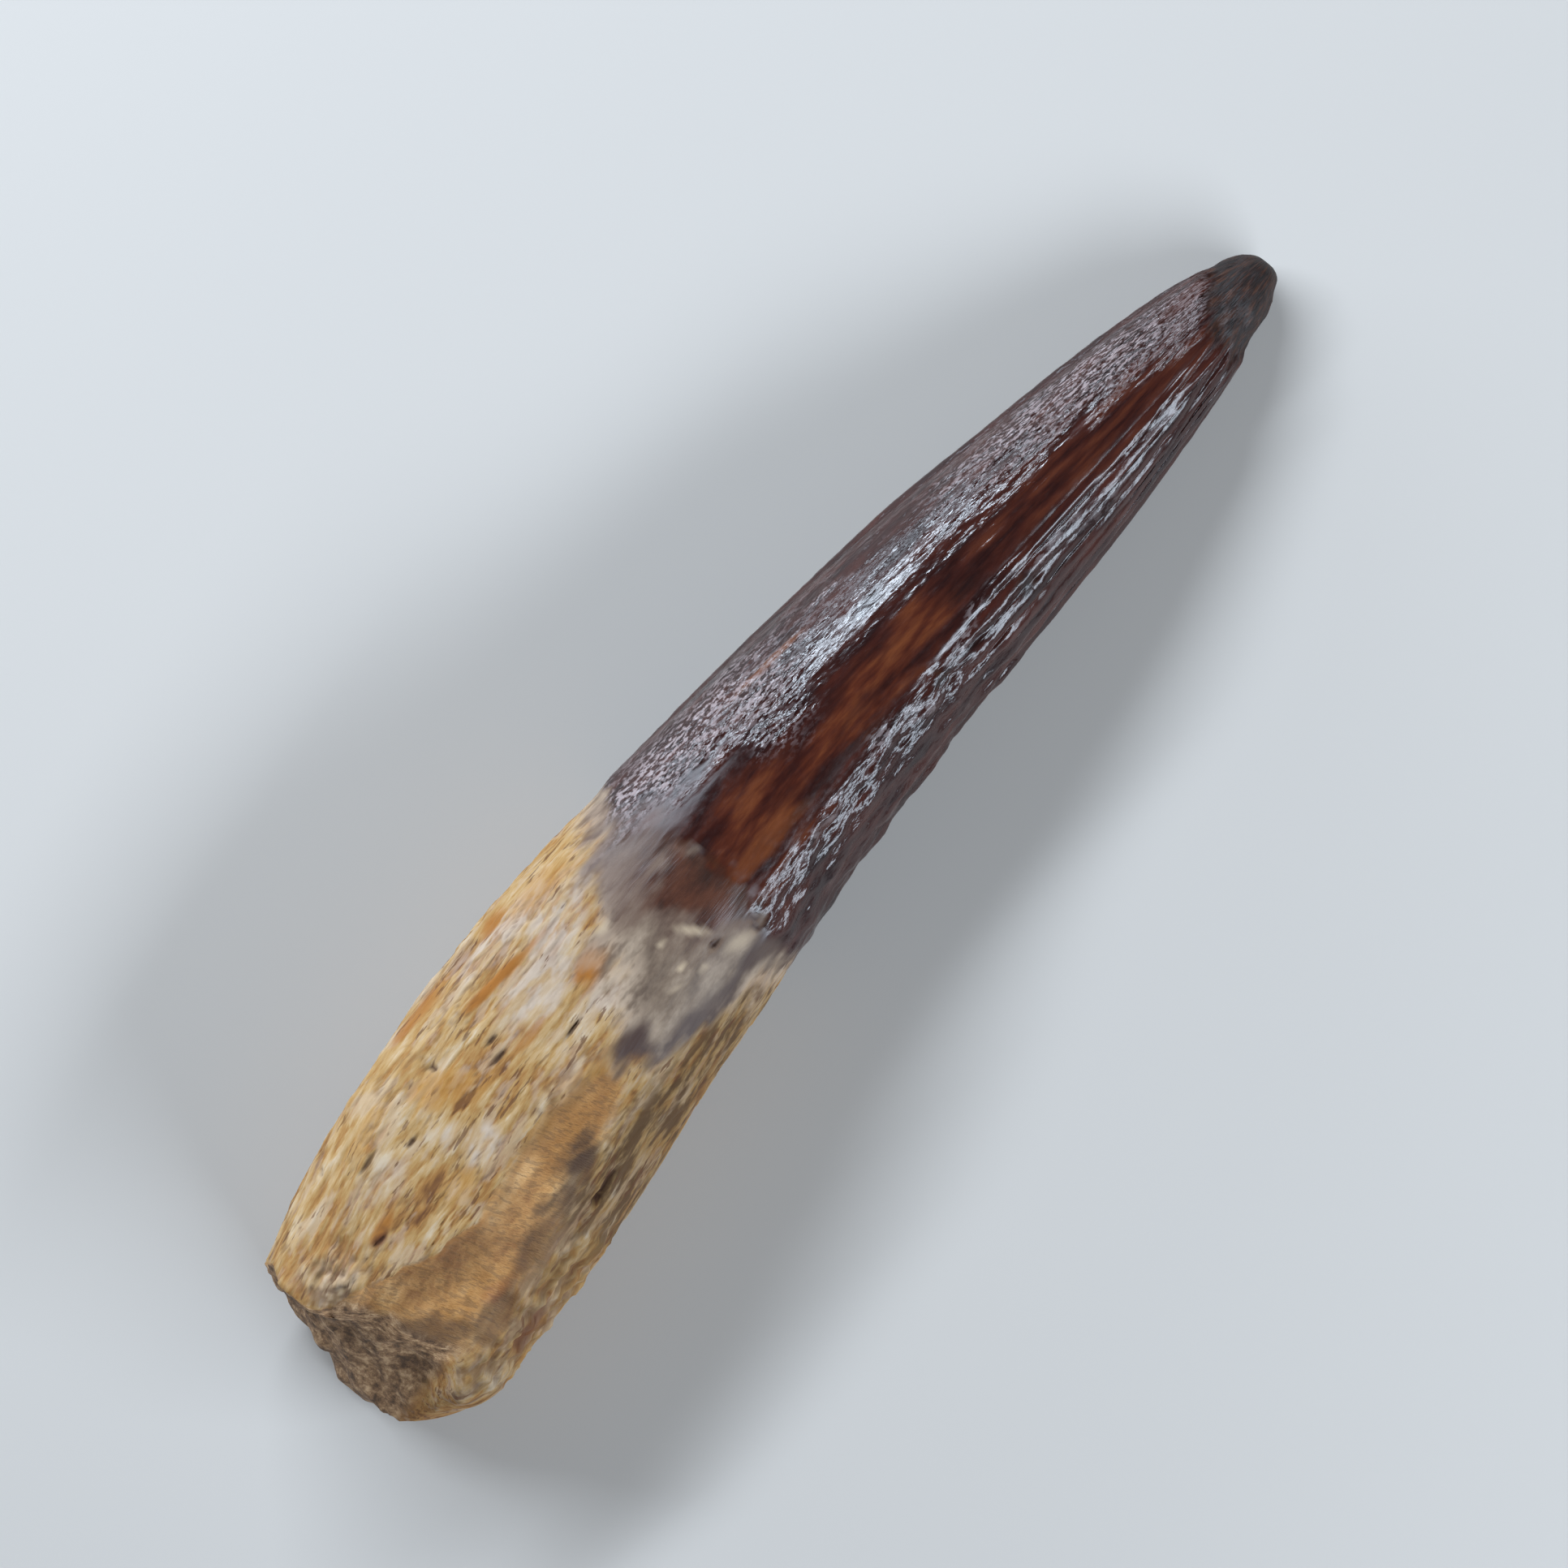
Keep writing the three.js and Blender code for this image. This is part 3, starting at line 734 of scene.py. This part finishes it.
# Each share goes into the mesh as an attribute, and the material reads it there.
shares = {
    "rooted": rooted,
    "fading": 1 - smoothstep(0, 4.5, past_root + 1.5 * fray),
    "enamelled": enamelled,
    "spall": spall,
    "bevel": bevel,
    "worn": worn,
    "pored": np.maximum(pored, seam * 0.7),
    "flecks": flecks,
    "orange": spots(ORANGE, 0.4, 0.5),
    "ochre": spots(OCHRE, 0.4, 0.5),
    "lilac": spots(LILAC, 0.5, 0.7),
    "grey": spots(GREY, 0.5, 0.7),
    "oval": spots(OVAL, 0.4, 0.7),
    "brown": spots(BROWN, 0.8, 0.5),
    "cream": spots(CREAM, 0.8, 0.15),
    "rust": spots(RUST, 0.5, 0.5),
    "amber": spots(AMBER, 0.75, 0.9),
    "black": spots(BLACK, 0.6, 0.8),
    # Where pale speckles are painted on as highlights; the same share deepens the enamel's bump.
    "granular_and_glints": spots(GRANULAR_AND_GLINTS, 0.8, 0.8) * smoothstep(-0.1, 0.55, np.sin(angle)),
    # Where pale blobs are painted on as highlights.
    "highlight_blobs": spots(HIGHLIGHT_BLOBS, 0.6, 0.8),
    "cracks": cracks,
    # Painted shade in the hollows between the lumps by the ledge and along the lower rim.
    "hollow_shade": np.maximum(ledge_lumps, 0.7 * lower_rim) * smoothstep(0, -0.3, lumpy),
    # Darker just under the ledge: partly stain, partly painted shade.
    "stain_and_shade_under_ledge": stain_and_shade_under_ledge,
    "bundle_tone": bundle_tone,
    "wrinkled": wrinkled * (1 - 0.7 * brushed_smooth) * (1 + 0.3 * knobbed - 0.5 * ridged),
    "lower_flank": smoothstep(-3.6, -5.6, y) * rooted * on_top * (0.5 + 0.5 * smoothstep(-31, -25, at)),
    "knobbed": np.maximum(knobbed, 0.6 * ridged) * on_top,
    "gloss": np.maximum(smoothstep(-5, 2, at - 3.5 * fray), 1 - smoothstep(3.2, 4.8, y - 0.6 * fray)),
}

# The snapped face looks like the spalled face's bevel, but for its low corner, which looks like the root.
face_count = ring_starts[len(face_rings)]
snapped = smoothstep(-6.6, -5.4, points[:face_count, 1])
face_shares = {"rooted": np.ones(face_count), "spall": snapped, "bevel": snapped}
for name, share in shares.items():
    values = np.zeros(len(points))
    if name in face_shares:
        values[:face_count] = face_shares[name]
        values[face_pole] = 1
    values[face_count:face_pole] = share.ravel()
    values[tip_pole] = share[-1].mean()
    layer = tooth_mesh.attributes.new(name, "FLOAT", "POINT")
    layer.data.foreach_set("value", values)

# The grain wanders with the fibres, most in the root. It carries on over the rim, and fades on the snapped
# face.
CROWN_BEND = 0.15
ROOT_BEND = 0.5
bent = grain + (CROWN_BEND + ROOT_BEND * rooted[..., None]) * np.stack([np.zeros(at.shape), *bend], axis=-1)
grain_all = points - middle * ACROSS
grain_all[face_count:face_pole] = bent.reshape(-1, 3)
rim_grain = bent[0] - body[0] + middle * ACROSS
for start, (share, one_in) in zip(ring_starts, reversed(FACE_RINGS)):
    grain_all[start:start + ROUND // one_in] += share**6 * rim_grain[::one_in]
layer = tooth_mesh.attributes.new("grain", "FLOAT_VECTOR", "POINT")
layer.data.foreach_set("vector", grain_all.ravel())

material = bpy.data.materials.new("fossil")
material.use_nodes = True
tree = material.node_tree
shader = tree.nodes["Principled BSDF"]


def paint(red, green, blue):
    """A colour as the eye names it, 0 to 255, in the linear light that the shader wants."""
    linear = []
    for value in (red / 255, green / 255, blue / 255):
        linear.append(value / 12.92 if value <= 0.04045 else ((value + 0.055) / 1.055) ** 2.4)
    return (*linear, 1.0)


def node(kind, *inputs, **settings):
    """A node with its inputs set in order, to values or other nodes' outputs. None leaves one as it is."""
    made = tree.nodes.new(kind)
    for name, value in settings.items():
        setattr(made, name, value)
    for socket, value in zip(made.inputs, inputs):
        if isinstance(value, bpy.types.NodeSocket):
            tree.links.new(value, socket)
        elif value is not None:
            socket.default_value = value
    return made


def share_of(name):
    return node("ShaderNodeAttribute", attribute_name=name).outputs["Fac"]


def maths(operation, first, second):
    return node("ShaderNodeMath", first, second, operation=operation).outputs[0]


def weighed(*parts):
    """The sum of several patterns, each multiplied by its weight."""
    total = None
    for pattern, weight in parts:
        part = maths("MULTIPLY", pattern, weight)
        total = part if total is None else maths("ADD", total, part)
    return total


def blend(first, second, share):
    """One value where the share is 0, the other where it is 1."""
    return node("ShaderNodeMix", share, None, first, second).outputs[0]


def over(below, above, share, strength=1.0):
    """One colour laid over another, as strongly as its share and strength say."""
    if strength < 1:
        share = maths("MULTIPLY", share, strength)
    mixed = node("ShaderNodeMix", share, None, None, None, None, None, below, above, data_type="RGBA")
    return mixed.outputs[2]


def step(value, low_value, high_value):
    """A pattern cut into two tones, with a soft edge between them."""
    cut = node("ShaderNodeMapRange", value, low_value, high_value, 0.0, 1.0, interpolation_type="SMOOTHSTEP")
    return cut.outputs[0]


def ramp(value, *stops):
    """A pattern turned into colour. Each stop is a place on the pattern and a red, green and blue."""
    made = node("ShaderNodeValToRGB", value)
    elements = made.color_ramp.elements
    while len(elements) < len(stops):
        elements.new(0.5)
    for element, (place, *colour) in zip(elements, stops):
        element.position = place
        element.color = paint(*colour)
    return made.outputs["Color"]


grain_out = node("ShaderNodeAttribute", attribute_name="grain").outputs["Vector"]


def streaks(scale, detail, roughness, offset=0.0):
    """Noise that follows the grain, so many to the millimetre along and across. Another offset changes it."""
    offsets = (offset, offset, offset)
    moved = node("ShaderNodeVectorMath", grain_out, scale, offsets, operation="MULTIPLY_ADD")
    return node("ShaderNodeTexNoise", moved.outputs[0], None, 1.0, detail, roughness).outputs["Fac"]


# Root: flakes of cream, gold and white, with short brown strokes between them, and painted shade in the
# hollows between the lumps by the ledge and along the lower rim.
patches = streaks((0.2, 0.42, 0.42), 3.0, 0.5)
flakes = streaks((0.45, 1.3, 1.3), 3.0, 0.6, 61.0)
threads = streaks((0.4, 3.4, 3.4), 4.0, 0.7, 11.0)
root_tone = weighed((patches, 0.3), (flakes, 0.3), (threads, 0.3), (share_of("bundle_tone"), 0.1))
root_colour = ramp(
    root_tone,
    (0.37, 102, 64, 29),
    (0.44, 141, 98, 49),
    (0.5, 155, 120, 71),
    (0.57, 168, 138, 97),
    (0.64, 178, 157, 130),
)
pale = step(streaks((0.32, 0.9, 0.9), 3.0, 0.6, 97.0), 0.5, 0.6)
root_colour = over(root_colour, paint(168, 146, 124), pale, 0.4)
broken = step(streaks((0.6, 1.6, 1.6), 2.0, 0.6, 5.0), 0.4, 0.6)
lilac = maths("MULTIPLY", share_of("lilac"), maths("ADD", maths("MULTIPLY", broken, 0.55), 0.25))
root_colour = over(root_colour, paint(172, 154, 138), lilac)
root_colour = over(root_colour, paint(158, 110, 46), share_of("ochre"), 0.6)
root_colour = over(root_colour, paint(143, 88, 28), share_of("orange"))
strands = step(streaks((0.4, 1.8, 1.8), 3.0, 0.6, 67.0), 0.4, 0.6)
strands = maths("ADD", maths("MULTIPLY", strands, 0.55), 0.4)
root_colour = over(root_colour, paint(72, 48, 24), maths("MULTIPLY", share_of("lower_flank"), strands))
root_colour = over(root_colour, paint(88, 45, 26), share_of("rust"), 0.7)
strokes = step(streaks((0.45, 3.0, 3.0), 3.0, 0.6, 53.0), 0.57, 0.64)
strokes = maths("MULTIPLY", strokes, step(streaks((0.25, 0.5, 0.5), 2.0, 0.5, 43.0), 0.42, 0.58))
root_colour = over(root_colour, paint(84, 48, 24), strokes, 0.75)
root_colour = over(root_colour, paint(85, 53, 32), share_of("cracks"), 0.45)
# Painted shade in the hollows between the lumps.
root_colour = over(root_colour, paint(88, 56, 34), share_of("hollow_shade"), 0.75)

# Spalled face: golden brown, brushed across the tooth, darker just under the ledge from stain and painted
# shade, with a mottled brown bevel at its end.
cross = node("ShaderNodeVectorRotate", grain_out, None, (0.0, 0.0, 1.0), -FIBRE_TURN).outputs[0]
brushed = node("ShaderNodeVectorMath", cross, (1.3, 4.2, 1.3), operation="MULTIPLY").outputs[0]
brush = node("ShaderNodeTexNoise", brushed, None, 1.0, 3.0, 0.6).outputs["Fac"]
clouds = streaks((0.3, 0.5, 0.5), 3.0, 0.6, 3.0)
spall_colour = ramp(
    weighed((brush, 0.3), (clouds, 0.7)),
    (0.38, 132, 88, 47),
    (0.47, 164, 117, 66),
    (0.55, 186, 138, 83),
    (0.64, 209, 164, 109),
)
spall_colour = over(spall_colour, paint(146, 98, 43), share_of("ochre"), 0.6)
# Under the ledge: partly stain, partly painted shade.
spall_colour = over(spall_colour, paint(109, 70, 34), share_of("stain_and_shade_under_ledge"), 0.3)
spall_colour = over(spall_colour, paint(88, 57, 30), step(brush, 0.48, 0.6), 0.5)
bevel_colour = ramp(
    streaks((0.8, 1.2, 1.2), 5.0, 0.75, 71.0),
    (0.38, 81, 59, 40),
    (0.47, 123, 91, 63),
    (0.55, 154, 120, 86),
    (0.64, 189, 155, 118),
)
spall_colour = over(spall_colour, bevel_colour, share_of("bevel"))
spall_colour = over(spall_colour, paint(63, 43, 30), share_of("grey"), 0.95)
spall_colour = over(spall_colour, paint(131, 67, 32), share_of("rust"), 0.6)
spall_colour = over(spall_colour, paint(239, 202, 160), share_of("cream"))

# Neck: smooth taupe, greyer in patches, browner towards the crown.
neck_tone = streaks((0.35, 0.7, 0.7), 4.0, 0.6, 7.0)
neck_colour = ramp(neck_tone, (0.36, 86, 68, 54), (0.5, 112, 93, 76), (0.64, 138, 119, 100))
neck_colour = over(neck_colour, paint(164, 142, 120), maths("MULTIPLY", share_of("fading"), broken))
neck_colour = over(neck_colour, paint(80, 54, 42), share_of("brown"), 0.8)
neck_colour = over(neck_colour, paint(54, 31, 23), share_of("grey"), 0.95)
oval_colour = ramp(neck_tone, (0.36, 42, 21, 13), (0.5, 59, 30, 19), (0.64, 74, 39, 24))
neck_colour = over(neck_colour, oval_colour, share_of("oval"), 0.95)
neck_colour = over(neck_colour, paint(178, 156, 128), share_of("cream"))

# Enamel: dark red-brown, amber where it is thin, nearly black in its flaws. Pale speckles and blobs are
# painted on as highlights along its bright bands.
glow = streaks((0.2, 0.8, 0.8), 4.0, 0.6, 17.0)
enamel_colour = ramp(glow, (0.36, 30, 10, 9), (0.52, 48, 19, 14), (0.68, 63, 27, 19))
amber_colour = ramp(glow, (0.36, 50, 18, 12), (0.5, 75, 33, 19), (0.66, 104, 55, 29))
enamel_colour = over(enamel_colour, amber_colour, share_of("amber"))
enamel_colour = over(enamel_colour, paint(124, 69, 35), share_of("orange"), 0.6)
# Pale speckles painted on as highlights where the enamel is granular.
painted_glints = step(streaks((2.1, 3.8, 3.8), 3.0, 0.6, 19.0), 0.46, 0.6)
painted_glints = maths("MULTIPLY", painted_glints, share_of("granular_and_glints"))
enamel_colour = over(enamel_colour, paint(160, 143, 142), painted_glints, 0.75)
# Pale blobs painted on as highlights along the lower bright band.
blob_breakup = step(streaks((1.3, 2.8, 2.8), 3.0, 0.6, 47.0), 0.47, 0.6)
enamel_colour = over(enamel_colour, paint(128, 115, 114), maths("MULTIPLY", share_of("highlight_blobs"), blob_breakup))
enamel_colour = over(enamel_colour, paint(13, 6, 6), share_of("black"), 0.8)
enamel_colour = over(enamel_colour, paint(104, 90, 88), share_of("flecks"), 0.8)

# Worn tip: bare dentine, nearly black-brown.
worn_tone = streaks((0.9, 1.2, 1.2), 3.0, 0.6, 23.0)
worn_colour = ramp(worn_tone, (0.38, 14, 3, 1), (0.52, 32, 10, 3), (0.66, 60, 29, 11))

colour = over(neck_colour, root_colour, share_of("rooted"))
colour = over(colour, enamel_colour, share_of("enamelled"))
colour = over(colour, spall_colour, share_of("spall"))
colour = over(colour, worn_colour, share_of("worn"))
colour = over(colour, paint(56, 28, 14), share_of("pored"), 0.85)
tree.links.new(colour, shader.inputs["Base Color"])

# Gloss: the root is matt, the neck satin and the enamel polished, but for its chips and a dull stretch near
# its start on the convex side.
ROUGHNESS = {
    "rooted": 0.9,
    "spall": 0.72,
    "neck": 0.6,
    "worn": 0.52,
    "dull": 0.4,
    "oval": 0.36,
    "chipped": 0.36,
    "knobbed": 0.25,
}
POLISH = (0.14, 0.27)
REFRACTION = 1.43
polish = streaks((1.6, 2.4, 2.4), 3.0, 0.6, 29.0)
enamel_roughness = node("ShaderNodeMapRange", polish, 0.35, 0.65, *POLISH).outputs[0]
chipped = maths("MAXIMUM", share_of("black"), share_of("pored"))
enamel_roughness = blend(enamel_roughness, ROUGHNESS["chipped"], chipped)
enamel_roughness = blend(enamel_roughness, ROUGHNESS["knobbed"], share_of("knobbed"))
enamel_roughness = blend(ROUGHNESS["dull"], enamel_roughness, share_of("gloss"))
rough = blend(ROUGHNESS["neck"], ROUGHNESS["oval"], share_of("oval"))
rough = blend(rough, ROUGHNESS["rooted"], share_of("rooted"))
rough = blend(rough, enamel_roughness, share_of("enamelled"))
rough = blend(rough, ROUGHNESS["spall"], share_of("spall"))
rough = blend(rough, ROUGHNESS["worn"], share_of("worn"))
tree.links.new(rough, shader.inputs["Roughness"])
shader.inputs["IOR"].default_value = REFRACTION

# Fine grain under what the mesh holds, with its depth in millimetres.
DEPTH = {
    "neck": 0.04,
    "rooted": 0.035,
    "spall": 0.06,
    "worn": 0.1,
    "enamel": 0.006,
    "wrinkled": 0.07,
    "granular_and_glints": 0.32,
}
pebbles = streaks((1.3, 2.5, 2.5), 2.0, 0.45, 31.0)
root_threads = streaks((1.1, 6.0, 6.0), 3.0, 0.65, 37.0)
brush_marks = node("ShaderNodeTexNoise", brushed, None, 2.6, 2.0, 0.6).outputs["Fac"]
neck_marks = streaks((0.35, 2.6, 2.6), 3.0, 0.6, 83.0)
neck_grain = maths("MULTIPLY", neck_marks, DEPTH["neck"])
fine_grain = blend(neck_grain, maths("MULTIPLY", root_threads, DEPTH["rooted"]), share_of("rooted"))
enamel_depth = maths("ADD", maths("MULTIPLY", share_of("wrinkled"), DEPTH["wrinkled"]), DEPTH["enamel"])
enamel_depth = maths("ADD", enamel_depth, maths("MULTIPLY", share_of("granular_and_glints"), DEPTH["granular_and_glints"]))
fine_grain = blend(fine_grain, maths("MULTIPLY", pebbles, enamel_depth), share_of("enamelled"))
fine_grain = blend(fine_grain, maths("MULTIPLY", brush_marks, DEPTH["spall"]), share_of("spall"))
fine_grain = blend(fine_grain, maths("MULTIPLY", pebbles, DEPTH["worn"]), share_of("worn"))
bump = node("ShaderNodeBump", 1.0, MM)
tree.links.new(fine_grain, bump.inputs["Height"])
tree.links.new(bump.outputs["Normal"], shader.inputs["Normal"])

tooth_mesh.materials.append(material)
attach(tooth, "root")
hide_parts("tooth")


# ---- The table, light and camera --------------------------------------------------------------------------
# A plain pale surface under the tooth, with three long soft lights. Two stand over its convex side, one above
# the other, and a broader one over its concave side: they draw the bright bands along the crown. Lengths here
# are in metres.

TABLE_SIDE = 6.0
TABLE_COLOUR = (0.45, 0.415, 0.38, 1)
TABLE_ROUGHNESS = 0.7
TABLE_CORNERS = ((-1, -1), (1, -1), (1, 1), (-1, 1))
corners = [(TABLE_SIDE / 2 * along, TABLE_SIDE / 2 * across, 0) for along, across in TABLE_CORNERS]
table_mesh = bpy.data.meshes.new("table")
table_mesh.from_pydata(corners, [], [(0, 1, 2, 3)])
table = bpy.data.objects.new("table", table_mesh)
bpy.context.scene.collection.objects.link(table)
table_material = bpy.data.materials.new("pale_table")
table_material.use_nodes = True
table_shader = table_material.node_tree.nodes["Principled BSDF"]
table_shader.inputs["Base Color"].default_value = TABLE_COLOUR
table_shader.inputs["Roughness"].default_value = TABLE_ROUGHNESS
table_mesh.materials.append(table_material)

ROOM_COLOUR = (0.92, 0.96, 1.0, 1)
ROOM_STRENGTH = 0.12
world = bpy.data.worlds.new("studio")
world.use_nodes = True
room = world.node_tree.nodes["Background"]
room.inputs["Color"].default_value = ROOM_COLOUR
room.inputs["Strength"].default_value = ROOM_STRENGTH
bpy.context.scene.world = world

LAMP_DISTANCE = 0.4
LAMP_COLOUR = (0.74, 0.86, 1.0)
# Name, degrees over towards the convex side, degrees towards the tip, length, width, watts.
LAMPS = [
    ("convex_core", 51, 11, 0.44, 0.04, 2.9),
    ("convex_low", 77, 6, 0.5, 0.07, 1.0),
    ("concave_core", -58, 6, 0.44, 0.08, 2.4),
]
for name, to_side, to_tip, length, width, watts in LAMPS:
    lamp = bpy.data.lights.new(name, "AREA")
    lamp.shape = "RECTANGLE"
    lamp.size = length
    lamp.size_y = width
    lamp.energy = watts
    lamp.color = LAMP_COLOUR
    side = math.radians(to_side)
    forward = math.radians(to_tip)
    upright = math.cos(forward)
    towards = Vector((math.sin(forward), math.sin(side) * upright, math.cos(side) * upright))
    lamp_object = bpy.data.objects.new(name, lamp)
    lamp_object.location = towards * LAMP_DISTANCE
    lamp_object.rotation_euler = (-towards).to_track_quat("-Z", "Y").to_euler()
    bpy.context.scene.collection.objects.link(lamp_object)

# The camera looks straight down, turned so that the tip points up to the right.
VIEW_WIDTH = 0.09646
VIEW_MIDDLE = (0.00107, 0.00051)
VIEW_LEVEL = 0.005
CAMERA_DISTANCE = 0.5
CAMERA_TURN = -50.66
camera_data = bpy.data.cameras.new("camera")
camera_data.sensor_width = 36
camera_data.lens = camera_data.sensor_width * CAMERA_DISTANCE / VIEW_WIDTH
camera = bpy.data.objects.new("camera", camera_data)
camera.location = (*VIEW_MIDDLE, VIEW_LEVEL + CAMERA_DISTANCE)
camera.rotation_euler = (0, 0, math.radians(CAMERA_TURN))
bpy.context.scene.collection.objects.link(camera)
bpy.context.scene.camera = camera
bpy.context.scene.view_settings.view_transform = "Standard"
